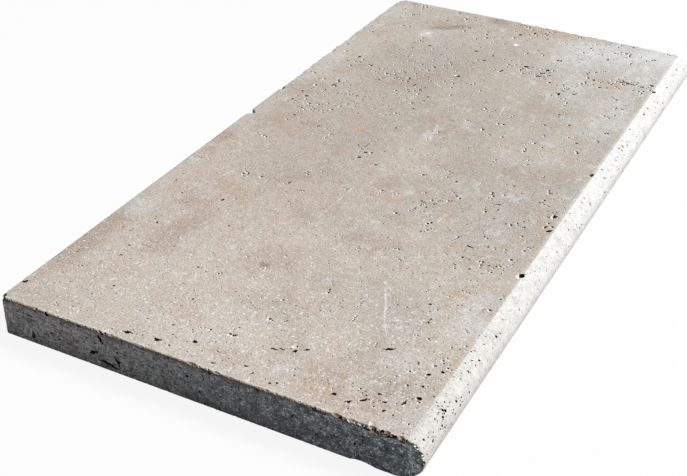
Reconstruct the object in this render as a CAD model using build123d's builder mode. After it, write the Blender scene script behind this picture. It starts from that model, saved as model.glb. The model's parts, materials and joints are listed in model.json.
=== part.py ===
"""Travertine pool coping: one sawn slab with a bullnose along one long edge.

Millimetres, +Z up. The origin is the middle of the underside. +Y runs along the
slab from its front end, and +X points over the water: the bullnose is the +X edge
and the square edge that meets the paving is the -X edge.
"""

import os
from dataclasses import dataclass
from math import asin, cos, degrees, radians, sin

from build123d import *

# The slab, as it is sold.
LENGTH = 610.0
WIDTH = 305.0
THICKNESS = 30.0

# The bullnose. From its foremost line a round climbs to the top, which it meets in a
# crease, and a flatter round runs back under the slab.
NOSE_RISE = 13.5
CREASE_SETBACK = 12.5
UNDERCUT = 20.0

# Wear from tumbling: the upright corners of the paving edge, and all the other edges.
CORNER_RADIUS = 5.0
ARRIS_RADIUS = 2.0

# The breadth of a common open void. Voids and chips are sized in multiples of it.
PORE = 3.0


@dataclass
class Hollow:
    """An open void or an edge chip: a half spheroid, long in the direction of its turn.

    Its place is a share of its face, across and along. Its length and breadth are in pores.
    """

    across: float
    along: float
    length: float
    breadth: float
    turn: float = 0.0


# In the top: across from the paving edge, along from the front end, turned from the
# slab's length away from the bullnose.
TOP_VOIDS = [
    Hollow(0.316, 0.015, 2.4, 1.0, 75),
    Hollow(0.387, 0.018, 1.7, 0.9, 90),
    Hollow(0.817, 0.115, 2.5, 0.8, -60),
    Hollow(0.843, 0.033, 2.0, 0.7, -55),
    Hollow(0.913, 0.046, 1.7, 0.8, -5),
    Hollow(0.727, 0.769, 1.4, 1.1, 20),
    Hollow(0.520, 0.806, 2.0, 1.0, 20),
    Hollow(0.577, 0.838, 1.7, 1.3, -80),
    Hollow(0.885, 0.853, 3.6, 0.8, 70),
    Hollow(0.476, 0.950, 1.7, 1.0, 40),
]

# In the upper round of the bullnose: across from its foremost line, along from the front
# end, turned from the slab's length.
NOSE_VOIDS = [
    Hollow(0.50, 0.284, 1.3, 0.8, 15),
    Hollow(0.60, 0.742, 1.2, 0.8),
]

# In the front end: across from the paving edge, along up from the underside, turned from
# the level.
FRONT_VOIDS = [
    Hollow(0.080, 0.22, 1.8, 1.2, 70),
    Hollow(0.265, 0.78, 1.8, 1.2, 110),
    Hollow(0.305, 0.34, 2.4, 1.2, 125),
    Hollow(0.268, 0.18, 4.0, 0.9, -5),
]

# In the hidden sides, seen square on: across from the left, along up from the underside,
# turned from the level.
BACK_VOIDS = [
    Hollow(0.420, 0.30, 2.2, 0.9, -10),
]
PAVING_EDGE_VOIDS = [
    Hollow(0.120, 0.44, 2.4, 0.9, 10),
]

# Chips, centred on the edge that they break.
PAVING_EDGE_CHIP = Hollow(0.0, 0.508, 6.4, 2.9)
FRONT_TOP_CHIPS = [
    Hollow(0.530, 1.0, 3.6, 1.6),
    Hollow(0.775, 1.0, 3.0, 1.6),
    Hollow(0.900, 1.0, 4.0, 1.9),
]
FRONT_UNDERSIDE_CHIP = Hollow(0.872, 0.0, 6.0, 1.9)

paving_x = -WIDTH / 2
nose_x = WIDTH / 2
front_y = -LENGTH / 2
back_y = LENGTH / 2
nose_z = THICKNESS - NOSE_RISE
nose_radius = (NOSE_RISE**2 + CREASE_SETBACK**2) / (2 * CREASE_SETBACK)
nose_sweep = degrees(asin(min(NOSE_RISE / nose_radius, 1.0)))


def top_plane(hollow: Hollow) -> Plane:
    """The top where the hollow opens, with x along the slab."""
    x = paving_x + hollow.across * WIDTH
    y = front_y + hollow.along * LENGTH
    return Plane((x, y, THICKNESS), x_dir=(0, 1, 0), z_dir=(0, 0, 1))


def nose_plane(hollow: Hollow) -> Plane:
    """The plane that touches the upper round where the hollow opens, with x along the slab."""
    climb = radians(hollow.across * nose_sweep)
    outward = (cos(climb), 0, sin(climb))
    x = nose_x - nose_radius * (1 - cos(climb))
    z = nose_z + nose_radius * sin(climb)
    return Plane((x, front_y + hollow.along * LENGTH, z), x_dir=(0, 1, 0), z_dir=outward)


def front_plane(hollow: Hollow) -> Plane:
    """The front end where the hollow opens, with x towards the bullnose."""
    x = paving_x + hollow.across * WIDTH
    return Plane((x, front_y, hollow.along * THICKNESS), x_dir=(1, 0, 0), z_dir=(0, -1, 0))


def back_plane(hollow: Hollow) -> Plane:
    """The back end where the hollow opens, with x towards the paving edge."""
    x = nose_x - hollow.across * WIDTH
    return Plane((x, back_y, hollow.along * THICKNESS), x_dir=(-1, 0, 0), z_dir=(0, 1, 0))


def paving_edge_plane(hollow: Hollow) -> Plane:
    """The paving edge where the hollow opens, with x towards the front end."""
    y = back_y - hollow.across * LENGTH
    return Plane((paving_x, y, hollow.along * THICKNESS), x_dir=(0, -1, 0), z_dir=(-1, 0, 0))


def cut(hollow: Hollow, mouth: Plane, sweep: float = 180.0):
    """Cuts the hollow below a flat mouth, or all round its long axis at an edge or a round."""
    mouth = mouth.rotated((0, 0, hollow.turn))
    half_length = hollow.length * PORE / 2
    half_breadth = hollow.breadth * PORE / 2
    with BuildSketch(mouth) as half_outline:
        with BuildLine():
            EllipticalCenterArc((0, 0), half_length, half_breadth, arc_size=180)
            Line((-half_length, 0), (half_length, 0))
        make_face()
    axis = Axis(mouth.origin, -mouth.x_dir)
    revolve(half_outline.sketch, axis=axis, revolution_arc=sweep, mode=Mode.SUBTRACT)


with BuildPart() as coping_slab:
    # The section, drawn on the front end and extruded along the slab.
    with BuildSketch(Plane.XZ.offset(LENGTH / 2)):
        with BuildLine():
            Polyline(
                (nose_x - UNDERCUT, 0),
                (paving_x, 0),
                (paving_x, THICKNESS),
                (nose_x - CREASE_SETBACK, THICKNESS),
            )
            TangentArc((nose_x, nose_z), (nose_x - CREASE_SETBACK, THICKNESS), tangent=(0, 1))
            EllipticalCenterArc((nose_x - UNDERCUT, nose_z), UNDERCUT, nose_z, 270, arc_size=90)
        make_face()
    extrude(amount=-LENGTH)

    # The worn corners and edges. The crease and the lines of the bullnose stay as they are.
    fillet(coping_slab.edges().filter_by(Axis.Z), CORNER_RADIUS)
    long_edges = coping_slab.edges().filter_by(Axis.Y).sort_by(Axis.X)
    bullnose_lines = long_edges.filter_by_position(Axis.X, 0, nose_x)
    worn_faces = coping_slab.faces().filter_by(Axis.Y) + coping_slab.faces().filter_by(Axis.Z)
    worn_edges = worn_faces.edges().filter_by(Axis.Z, reverse=True) - bullnose_lines
    fillet(worn_edges, ARRIS_RADIUS)

    # The open voids.
    for void in TOP_VOIDS:
        cut(void, top_plane(void))
    for void in NOSE_VOIDS:
        cut(void, nose_plane(void), 360)
    for void in FRONT_VOIDS:
        cut(void, front_plane(void))
    for void in BACK_VOIDS:
        cut(void, back_plane(void))
    for void in PAVING_EDGE_VOIDS:
        cut(void, paving_edge_plane(void))

    # The chipped edges.
    cut(PAVING_EDGE_CHIP, top_plane(PAVING_EDGE_CHIP), 360)
    for chip in FRONT_TOP_CHIPS:
        cut(chip, front_plane(chip), 360)
    cut(FRONT_UNDERSIDE_CHIP, front_plane(FRONT_UNDERSIDE_CHIP), 360)

coping_slab.part.label = "coping_slab"

os.makedirs("parts", exist_ok=True)
export_step(coping_slab.part, "parts/coping_slab.step")
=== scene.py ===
import json
import math
import random

import bmesh
import bpy
from mathutils import Matrix, Vector

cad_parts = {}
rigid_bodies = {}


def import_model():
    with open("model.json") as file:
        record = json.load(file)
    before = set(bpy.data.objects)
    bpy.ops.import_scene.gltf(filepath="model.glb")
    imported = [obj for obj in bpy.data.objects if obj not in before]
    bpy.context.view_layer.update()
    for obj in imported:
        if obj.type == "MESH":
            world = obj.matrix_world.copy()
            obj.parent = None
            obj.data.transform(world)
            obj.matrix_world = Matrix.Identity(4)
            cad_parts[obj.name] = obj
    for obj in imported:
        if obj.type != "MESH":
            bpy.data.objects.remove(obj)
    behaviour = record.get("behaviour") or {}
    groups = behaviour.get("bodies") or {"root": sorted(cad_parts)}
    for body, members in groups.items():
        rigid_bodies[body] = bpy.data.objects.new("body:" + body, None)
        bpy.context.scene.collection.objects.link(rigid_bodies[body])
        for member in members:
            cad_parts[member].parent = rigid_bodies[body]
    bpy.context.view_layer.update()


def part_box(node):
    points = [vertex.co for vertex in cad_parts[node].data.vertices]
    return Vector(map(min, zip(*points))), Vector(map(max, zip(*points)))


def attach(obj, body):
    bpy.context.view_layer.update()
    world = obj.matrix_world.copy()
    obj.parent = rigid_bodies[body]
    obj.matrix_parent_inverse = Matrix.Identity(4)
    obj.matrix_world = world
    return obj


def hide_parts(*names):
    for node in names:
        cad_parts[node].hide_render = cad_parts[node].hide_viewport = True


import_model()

# The slab as sawn. One block of travertine is cut to a flat slab, and its front end, back
# end and paving edge stay square. Sizes are in millimetres, and the mesh is in metres.

MM = 0.001
low, high = (Vector(corner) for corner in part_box("coping_slab"))
paving_x, front_y, bed_z = (edge / MM for edge in low)
nose_x, back_y, top_z = (edge / MM for edge in high)

bpy.ops.object.select_all(action="DESELECT")
bpy.ops.mesh.primitive_cube_add(size=1, location=(low + high) / 2, scale=high - low)
slab = bpy.context.object
slab.name = "coping"
bpy.ops.object.transform_apply(location=True, rotation=True, scale=True)

# The bullnose is ground along the water edge: an upper round from its foremost line to a
# crease in the top, and a flatter round that runs back under the slab. Each pass of the
# wheel planes off one narrow facet.

NOSE_RISE = 13.5
CREASE_SETBACK = 12.5
UNDERCUT = 20.0
PASSES = 15

nose_z = top_z - NOSE_RISE
crease_x = nose_x - CREASE_SETBACK
upper_radius = (NOSE_RISE**2 + CREASE_SETBACK**2) / (2 * CREASE_SETBACK)
crease_angle = math.asin(NOSE_RISE / upper_radius)


def upper_round(climb):
    """The point of the upper round at this angle above its foremost line, and its normal."""
    normal = Vector((math.cos(climb), 0, math.sin(climb)))
    middle = Vector((nose_x - upper_radius, 0, nose_z))
    return middle + normal * upper_radius, normal


def lower_round(drop):
    """The point of the lower round at this angle below its foremost line, and its normal."""
    middle = Vector((nose_x - UNDERCUT, 0, nose_z))
    point = middle + Vector((UNDERCUT * math.cos(drop), 0, -nose_z * math.sin(drop)))
    normal = Vector((math.cos(drop) / UNDERCUT, 0, -math.sin(drop) / nose_z))
    return point, normal.normalized()


bpy.ops.object.mode_set(mode="EDIT")
for grind_pass in range(PASSES):
    share = (grind_pass + 0.5) / PASSES
    for point, normal in (upper_round(share * crease_angle), lower_round(share * math.pi / 2)):
        bpy.ops.mesh.select_all(action="SELECT")
        bpy.ops.mesh.bisect(plane_co=point * MM, plane_no=normal, clear_outer=True, use_fill=True)

# Tumbling wears the upright corners of the paving edge and every arris.

CORNER_RADIUS = 3.0
ARRIS_RADIUS = 1.0


def select_edges(slab, wanted):
    """Selects the edges of the slab that are wanted, and nothing else."""
    bpy.ops.mesh.select_mode(type="EDGE")
    bpy.ops.mesh.select_all(action="DESELECT")
    mesh = bmesh.from_edit_mesh(slab.data)
    for edge in mesh.edges:
        edge.select = wanted(edge)
    bmesh.update_edit_mesh(slab.data)


def upright_corner(edge):
    start, end = (vert.co / MM for vert in edge.verts)
    return max(start.x, end.x) < paving_x + 1 and abs(start.z - end.z) > ARRIS_RADIUS


def sharp_arris(edge):
    return edge.calc_face_angle(0) > math.radians(60)


select_edges(slab, upright_corner)
bpy.ops.mesh.bevel(offset=CORNER_RADIUS * MM, segments=5, affect="EDGES")

# Wear has rounded the upper arris of the paving edge more than the others.
PAVING_ROUND = 2.6
WEAR_PASSES = 4
for wear_pass in range(WEAR_PASSES):
    climb = (wear_pass + 0.5) / WEAR_PASSES * math.pi / 2
    normal = Vector((-math.cos(climb), 0, math.sin(climb)))
    point = Vector((paving_x + PAVING_ROUND, 0, top_z - PAVING_ROUND)) + normal * PAVING_ROUND
    bpy.ops.mesh.select_all(action="SELECT")
    bpy.ops.mesh.bisect(plane_co=point * MM, plane_no=normal, clear_outer=True, use_fill=True)

select_edges(slab, sharp_arris)
bpy.ops.mesh.bevel(offset=ARRIS_RADIUS * MM, segments=3, affect="EDGES")
bpy.ops.object.mode_set(mode="OBJECT")

# The stone's finish. Weathered travertine is matt beige with brown and grey clouds, pale
# flecks and pinholes. The bullnose is freshly ground, so it is paler and cleaner, and it carries
# a painted highlight on its upper round and painted shade on its lower part. The sawn faces are
# greyer and partly painted shade, and the voids are lined with a dark brown crust that is partly
# painted shade.


def paint(red, green, blue):
    """A colour as a screen shows it, from 0 to 255, turned into the shader's own values."""
    shares = (level / 255 for level in (red, green, blue))
    return (*(s / 12.92 if s < 0.04045 else ((s + 0.055) / 1.055) ** 2.4 for s in shares), 1.0)


def add_node(tree, kind, inputs=None, **settings):
    """Adds a node with its settings, and wires or sets the inputs that are named."""
    node = tree.nodes.new(kind)
    for name, value in settings.items():
        setattr(node, name, value)
    for name, value in (inputs or {}).items():
        if isinstance(value, bpy.types.NodeSocket):
            tree.links.new(value, node.inputs[name])
        else:
            node.inputs[name].default_value = value
    return node


def tree_of(*values):
    """The node tree of the first socket among these values."""
    return next(value.id_data for value in values if isinstance(value, bpy.types.NodeSocket))


def calc(operation, first, second=0.0):
    inputs = {0: first, 1: second}
    return add_node(tree_of(first, second), "ShaderNodeMath", inputs, operation=operation).outputs[0]


def times(first, second):
    return calc("MULTIPLY", first, second)


def plus(first, second):
    return calc("ADD", first, second)


def less(first, second):
    return calc("SUBTRACT", first, second)


def vector_calc(operation, first, second=(0, 0, 0)):
    """A sum on vectors, which gives a vector or, as for a length, a value."""
    inputs = {0: first, 1: second}
    node = add_node(tree_of(first, second), "ShaderNodeVectorMath", inputs, operation=operation)
    return node.outputs["Value" if operation in ("LENGTH", "DISTANCE", "DOT_PRODUCT") else "Vector"]


def scaled(vector, factor):
    inputs = {0: vector, "Scale": factor}
    return add_node(tree_of(vector), "ShaderNodeVectorMath", inputs, operation="SCALE").outputs["Vector"]


def fade(value, start, end, low=0.0, high=1.0):
    """Goes smoothly from low to high as the value goes from start to end."""
    inputs = {"Value": value, "From Min": start, "From Max": end, "To Min": low, "To Max": high}
    node = add_node(tree_of(value), "ShaderNodeMapRange", inputs, interpolation_type="SMOOTHSTEP")
    return node.outputs[0]


def lay_over(share, under, over, blend="MIX"):
    """Lays one colour over another."""
    inputs = {0: share, 6: under, 7: over}
    tree = tree_of(share, under, over)
    return add_node(tree, "ShaderNodeMix", inputs, data_type="RGBA", blend_type=blend).outputs[2]


def toned(colour, tone):
    """The colour made lighter or darker by a tone, where 1 leaves it as it is."""
    return lay_over(1.0, colour, tone, "MULTIPLY")


def noise(place, size, detail=3.0, roughness=0.55, output="Fac"):
    """Cloudy noise whose blotches are about this many millimetres across."""
    inputs = {"Vector": place, "Scale": 1 / size, "Detail": detail, "Roughness": roughness}
    return add_node(tree_of(place), "ShaderNodeTexNoise", inputs).outputs[output]


def start_group(name, inputs, outputs):
    """A node group with these sockets, its input node and its output node."""
    group = bpy.data.node_groups.new(name, "ShaderNodeTree")
    for socket, kind in inputs.items():
        group.interface.new_socket(socket, in_out="INPUT", socket_type="NodeSocket" + kind)
    for socket, kind in outputs.items():
        group.interface.new_socket(socket, in_out="OUTPUT", socket_type="NodeSocket" + kind)
    given = group.nodes.new("NodeGroupInput").outputs
    return group, given, group.nodes.new("NodeGroupOutput").inputs


def place_group(group, **inputs):
    named = {name.replace("_", " "): value for name, value in inputs.items()}
    return add_node(tree_of(*named.values()), "ShaderNodeGroup", named, node_tree=group).outputs


# Spots: scattered small ragged marks, such as pinholes and pale flecks. Spacing is in
# millimetres, Share is how many of the places hold a spot, and Reach is a spot's radius.

spots, given, result = start_group(
    "stone_spots",
    {"Place": "Vector", "Spacing": "Float", "Share": "Float", "Reach": "Float"},
    {"Mask": "Float"},
)
wobble = noise(given["Place"], 0.9, 2.0, output="Color")
wobble = vector_calc("SUBTRACT", wobble, (0.5, 0.5, 0.5))
wobble = scaled(wobble, times(given["Reach"], 3.0))
wobbled = vector_calc("ADD", given["Place"], wobble)
scale = calc("DIVIDE", 1.0, given["Spacing"])
cells = add_node(spots, "ShaderNodeTexVoronoi", {"Vector": wobbled, "Scale": scale})
draw = add_node(spots, "ShaderNodeSeparateColor", {"Color": cells.outputs["Color"]}).outputs
taken = calc("LESS_THAN", draw["Red"], given["Share"])
size = times(given["Reach"], plus(draw["Green"], 0.4))
distance = times(cells.outputs["Distance"], given["Spacing"])
inside = less(1.0, calc("DIVIDE", distance, size))
strength = times(taken, fade(draw["Blue"], 0.0, 1.0, 0.25, 1.0))
spots.links.new(times(strength, fade(inside, 0.0, 0.5)), result["Mask"])

# Grain: the fine sugary tone of the stone, with warm and cool crystals, and its height, from
# 0 to 1. Contrast is for light and dark, and Hue is for warm and cool.

WARM_CRYSTAL = (1.10, 1.0, 0.90, 1.0)
COOL_CRYSTAL = (0.90, 1.0, 1.10, 1.0)
CLEAR = (1.0, 1.0, 1.0, 1.0)

grain, given, result = start_group(
    "stone_grain",
    {"Place": "Vector", "Contrast": "Float", "Hue": "Float"},
    {"Tone": "Color", "Height": "Float"},
)
fine = noise(given["Place"], 1.5, 2.0)
coarse = noise(given["Place"], 5.0, 4.0, 0.65)
height = plus(times(fine, 0.6), times(coarse, 0.4))
swing = times(less(height, 0.5), given["Contrast"])
hue = noise(given["Place"], 1.0, 2.0, output="Color")
hue = add_node(grain, "ShaderNodeSeparateColor", {"Color": hue}).outputs["Green"]
tint = lay_over(fade(hue, 0.30, 0.70), COOL_CRYSTAL, WARM_CRYSTAL)
tint = lay_over(given["Hue"], CLEAR, tint)
tone = toned(tint, plus(swing, 1.0))
grain.links.new(tone, result["Tone"])
grain.links.new(height, result["Height"])

# Patch: an oval blot with a ragged, soft edge. Middle and Radii are in millimetres.

patch, given, result = start_group(
    "stone_patch",
    {"Place": "Vector", "Middle": "Vector", "Radii": "Vector", "Turn": "Float"},
    {"Mask": "Float"},
)
offset = vector_calc("SUBTRACT", given["Place"], given["Middle"])
inputs = {"Vector": offset, "Angle": given["Turn"]}
turned = add_node(patch, "ShaderNodeVectorRotate", inputs, rotation_type="Z_AXIS").outputs["Vector"]
reach = vector_calc("LENGTH", vector_calc("DIVIDE", turned, given["Radii"]))
patch.links.new(fade(reach, 1.15, 0.25), result["Mask"])

# Scuff: a thin broken scratch from Start to End.

scuff, given, result = start_group(
    "stone_scuff",
    {"Place": "Vector", "Start": "Vector", "End": "Vector", "Width": "Float"},
    {"Mask": "Float"},
)
line = vector_calc("SUBTRACT", given["End"], given["Start"])
offset = vector_calc("SUBTRACT", given["Place"], given["Start"])
passed = vector_calc("DOT_PRODUCT", offset, line)
along = calc("DIVIDE", passed, vector_calc("DOT_PRODUCT", line, line))
along = add_node(scuff, "ShaderNodeClamp", {"Value": along}).outputs[0]
distance = vector_calc("DISTANCE", offset, scaled(line, along))
close = fade(distance, given["Width"], 0.0)
broken = fade(noise(given["Place"], 4.0, 3.0), 0.32, 0.58)
scuff.links.new(times(close, broken), result["Mask"])

# Hairs: short pale threads of lime dust. They are bits of the contour lines of a wide noise.

hairs, given, result = start_group("stone_hairs", {"Place": "Vector", "Share": "Float"}, {"Mask": "Float"})
hill = noise(given["Place"], 14.0, 2.0, 0.4)
contour = calc("FRACT", times(hill, 11.0))
thread = fade(calc("ABSOLUTE", less(contour, 0.5)), 0.11, 0.02)
bare = less(0.72, times(given["Share"], 0.20))
gap = less(noise(given["Place"], 2.6, 2.0), bare)
hairs.links.new(times(thread, fade(gap, 0.0, 0.05)), result["Mask"])


def start_material(name):
    """A new material's node tree, its shader and the place on the slab in millimetres."""
    material = bpy.data.materials.new(name)
    material.use_nodes = True
    tree = material.node_tree
    shader = tree.nodes["Principled BSDF"]
    shader.inputs["Specular IOR Level"].default_value = 0.25
    where = add_node(tree, "ShaderNodeTexCoord").outputs["Object"]
    return material, tree, shader, scaled(where, 1 / MM)


def axes_of(place):
    return add_node(tree_of(place), "ShaderNodeSeparateXYZ", {"Vector": place}).outputs


def spotted(place, spacing, share, reach):
    return place_group(spots, Place=place, Spacing=spacing, Share=share, Reach=reach)["Mask"]


def shift(place):
    """The place moved far off, so that two kinds of spots do not share their middles."""
    return vector_calc("ADD", place, (531.0, 217.0, 89.0))


def finish_material(tree, shader, colour, roughness, height, depth):
    """Wires the colour, the roughness and a bump that is this many millimetres deep."""
    tree.links.new(colour, shader.inputs["Base Color"])
    tree.links.new(roughness, shader.inputs["Roughness"])
    bump = add_node(tree, "ShaderNodeBump", {"Height": height, "Strength": 1.0, "Distance": depth * MM})
    tree.links.new(bump.outputs["Normal"], shader.inputs["Normal"])


# The weathered faces: the top and the arrises.

BEIGE = paint(204, 192, 181)
LIGHT_BEIGE = paint(212, 202, 193)
GREY = paint(182, 177, 169)
TAN = paint(190, 168, 150)
BROWN = paint(172, 153, 137)
DARK_BROWN = paint(136, 112, 94)
SHADE = paint(163, 152, 141)
PALE = paint(221, 222, 222)
COOL = paint(219, 221, 222)
CHALK = paint(242, 242, 240)
OCHRE = paint(212, 158, 84)
PINHOLE = paint(70, 58, 50)
EDGE_STAIN = paint(152, 123, 108)

# Blots that the photograph shows on the top: how far across from the paving edge and along
# from the front end, how far they reach, their turn in degrees, colour and strength.
BLOTS = [
    (75, 45, 100, 70, 0, LIGHT_BEIGE, 0.5), (45, 60, 30, 26, 0, TAN, 0.22),
    (105, 60, 26, 22, 0, TAN, 0.18), (105, 100, 26, 22, 0, LIGHT_BEIGE, 0.45),
    (150, 30, 70, 45, 0, LIGHT_BEIGE, 0.6), (165, 145, 40, 30, 0, LIGHT_BEIGE, 0.4),
    (80, 330, 85, 200, 0, SHADE, 0.30), (70, 450, 90, 60, 0, SHADE, 0.16),
    (8, 85, 16, 70, 0, BROWN, 0.55), (6, 262, 8, 20, 0, BROWN, 0.55),
    (10, 236, 9, 9, 0, BROWN, 0.45), (13, 138, 12, 20, 0, COOL, 0.60),
    (57, 122, 16, 42, 10, BROWN, 0.45), (134, 111, 5, 4, 0, DARK_BROWN, 0.55),
    (165, 18, 22, 10, 0, TAN, 0.40), (118, 42, 18, 12, 0, TAN, 0.30),
    (230, 14, 34, 10, 0, TAN, 0.30), (256, 60, 22, 22, 0, COOL, 0.30),
    (284, 20, 16, 20, 0, COOL, 0.35), (281, 146, 14, 20, 0, COOL, 0.50),
    (138, 120, 26, 26, 0, BROWN, 0.30), (170, 90, 16, 12, 0, TAN, 0.40),
    (120, 188, 20, 14, 30, BROWN, 0.30), (160, 256, 9, 14, 20, BROWN, 0.35),
    (60, 190, 30, 12, 35, TAN, 0.45), (40, 300, 26, 12, 30, TAN, 0.30),
    (110, 320, 34, 60, 0, SHADE, 0.25), (195, 320, 26, 40, 0, SHADE, 0.45),
    (222, 305, 28, 30, 0, SHADE, 0.22), (165, 435, 28, 46, 0, SHADE, 0.28),
    (138, 215, 26, 70, 0, SHADE, 0.22), (230, 430, 40, 50, 20, BROWN, 0.20),
    (130, 495, 34, 60, 0, SHADE, 0.40), (78, 565, 26, 8, -35, DARK_BROWN, 0.50),
    (64, 538, 14, 12, 0, COOL, 0.55), (114, 600, 14, 12, 0, DARK_BROWN, 0.40),
    (165, 594, 45, 16, 0, TAN, 0.65), (220, 602, 40, 8, 0, TAN, 0.45),
    (12, 440, 14, 60, 0, COOL, 0.30), (12, 580, 16, 40, 0, COOL, 0.30),
    (154, 345, 5, 24, 8, PALE, 0.45), (172, 372, 5, 12, -30, PALE, 0.40),
    (215, 560, 45, 50, 0, COOL, 0.62), (230, 500, 26, 30, 0, COOL, 0.45),
    (250, 585, 64, 28, 0, COOL, 0.60), (272, 560, 34, 80, 0, COOL, 0.60),
    (270, 450, 30, 60, 0, COOL, 0.40), (228, 462, 26, 24, 0, COOL, 0.35),
    (14, 302, 12, 24, 0, COOL, 0.25), (282, 600, 26, 26, 0, COOL, 0.85),
    (255, 512, 30, 16, -20, TAN, 0.55), (281, 114, 14, 24, 0, COOL, 0.55),
    (272, 30, 26, 26, 0, SHADE, 0.25), (240, 100, 30, 40, 0, GREY, 0.35),
]

# Single lime spots: across, along and reach.
LIME_SPOTS = [
    (149.7, 554, 3.4), (64, 540, 3.0), (126, 462, 1.8), (196, 44, 2.0),
]

# Scuffs: start and end, across and along, width and strength.
SCUFFS = [
    ((241, 82), (233, 96), 1.0, 0.75), ((233, 96), (228, 108), 1.3, 0.75),
    ((228, 108), (221, 122), 1.1, 0.75), ((226, 120), (217, 127), 1.1, 0.75),
    ((222, 128), (214, 134), 1.2, 0.75), ((237, 98), (247, 101), 0.8, 0.75),
    ((262, 66), (259, 50), 0.6, 0.60), ((259, 50), (252, 32), 0.6, 0.60),
    ((136, 185), (138, 236), 1.0, 0.60), ((110, 442), (125, 433), 1.0, 0.50),
    ((152, 363), (158, 332), 1.4, 0.55), ((188, 422), (191, 406), 1.0, 0.50),
    ((209, 390), (209, 376), 1.4, 0.55), ((107, 393), (111, 400), 1.6, 0.60),
    ((28, 169), (36, 192), 1.8, 0.55), ((40, 203), (44, 215), 1.4, 0.55),
]

# Thin streaks: across, along, half length, half width, turn, colour and strength.
STREAKS = [
    (92, 327.6, 13, 1.3, -11, OCHRE, 0.55),
    (96.5, 326.6, 4, 1.6, -11, OCHRE, 0.65),
    (264, 144, 9, 1.8, 0, OCHRE, 0.65),
    (0.7, 340, 24, 1.3, 90, DARK_BROWN, 0.80),
]

# How far the edges of clouds and of blots stray, in millimetres.
CLOUD_STRAY = 40.0
BLOT_STRAY = 22.0


def top_patch(place, across, along, radii, turn=0.0):
    """The mask of an oval patch on the top, turned by this many degrees."""
    middle = (paving_x + across, front_y + along, top_z)
    angle = math.radians(turn)
    return place_group(patch, Place=place, Middle=middle, Radii=radii, Turn=angle)["Mask"]


worn_stone, tree, shader, place = start_material("worn_travertine")
axes = axes_of(place)
stray = noise(place, 26.0, 4.0, 0.6, output="Color")
stray = vector_calc("SUBTRACT", stray, (0.5, 0.5, 0.5))
ragged = vector_calc("ADD", place, scaled(stray, CLOUD_STRAY))
blotted = vector_calc("ADD", place, scaled(stray, BLOT_STRAY))
on_face = fade(axes["Z"], top_z - 3.0, top_z - 0.5)

# Grey gains on beige towards the bullnose and the back end.
drift = vector_calc("DOT_PRODUCT", place, (0.0016, 0.0010, 0.0))
drift = plus(drift, noise(place, 70.0, 4.0))
colour = lay_over(fade(drift, 0.25, 0.95), BEIGE, GREY)

# Brown clouds, tan blotches and pale dust, from wide to narrow.
cloud = noise(ragged, 48.0, 6.0, 0.62)
colour = lay_over(fade(cloud, 0.47, 0.72, 0.0, 0.55), colour, BROWN)
bedded = vector_calc("MULTIPLY", ragged, (1.0, 0.5, 1.0))
mottle = noise(bedded, 11.0, 6.0, 0.70)
colour = lay_over(fade(mottle, 0.48, 0.70, 0.0, 0.65), colour, TAN)
dust = noise(shift(bedded), 8.0, 7.0, 0.75)
colour = lay_over(fade(dust, 0.52, 0.72, 0.0, 0.75), colour, PALE)

patchy = fade(dust, 0.36, 0.62, 0.45, 1.05)
for across, along, wide, long, turn, tint, strength in BLOTS:
    mask = top_patch(blotted, across, along, (wide, long, 60.0), turn)
    mask = times(mask, on_face)
    if tint in (PALE, COOL):
        mask = times(mask, patchy)
    colour = lay_over(times(mask, strength), colour, tint)

for across, along, long, wide, turn, tint, strength in STREAKS:
    mask = top_patch(place, across, along, (long, wide, 10.0), -turn)
    colour = lay_over(times(mask, strength), colour, tint)

for start, end, width, strength in SCUFFS:
    first = (paving_x + start[0], front_y + start[1], top_z)
    last = (paving_x + end[0], front_y + end[1], top_z)
    mask = place_group(scuff, Place=place, Start=first, End=last, Width=width)["Mask"]
    colour = lay_over(times(mask, strength), colour, CHALK)

for across, along, reach in LIME_SPOTS:
    mask = top_patch(place, across, along, (reach, reach, 10.0))
    colour = lay_over(mask, colour, CHALK)

# Sugary grain, lime hairs, flecks and pinholes, which are the finest marks, and a painted
# highlight: a chalk-white spot beside each pinhole, on the side that faces the lamp. The front end
# of the slab is the dustiest.
sugar = place_group(grain, Place=place, Contrast=1.35, Hue=0.8)
colour = toned(colour, sugar["Tone"])
dusty = fade(axes["Y"], front_y + 40, front_y + 300)
hair = place_group(hairs, Place=place, Share=less(1.0, dusty))["Mask"]
colour = lay_over(times(hair, 0.82), colour, CHALK)
bright = less(0.95, times(dusty, 0.45))
for spacing, reach in ((1.7, 0.52), (3.4, 0.85)):
    flecks = spotted(place, spacing, 0.40, reach)
    colour = lay_over(times(flecks, bright), colour, CHALK)
crowd = fade(noise(ragged, 17.0, 3.0), 0.40, 0.62, 0.2, 0.7)
far_off = shift(place)
# Painted highlight: chalk-white spots beside the pinholes, on the side of each where its wall faces the
# lamp, stand in for that lit wall.
lit_side = vector_calc("ADD", far_off, (0.45, 0.65, 0.0))
painted_pit_highlights = spotted(lit_side, 2.7, crowd, 0.60)
colour = lay_over(times(painted_pit_highlights, 0.7), colour, CHALK)
pinholes = spotted(far_off, 2.7, crowd, 0.60)
colour = lay_over(times(pinholes, 0.85), colour, PINHOLE)

# The pale dust of the bullnose just reaches over the crease, least of all at the front end.
spread = fade(axes["X"], crease_x - 2.5, crease_x - 0.3, 0.0, 0.55)
spread = times(spread, fade(axes["Y"], front_y + 40, front_y + 320, 0.20, 1.0))
spread = times(spread, fade(dust, 0.30, 0.52))
colour = lay_over(spread, colour, PALE)

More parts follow.
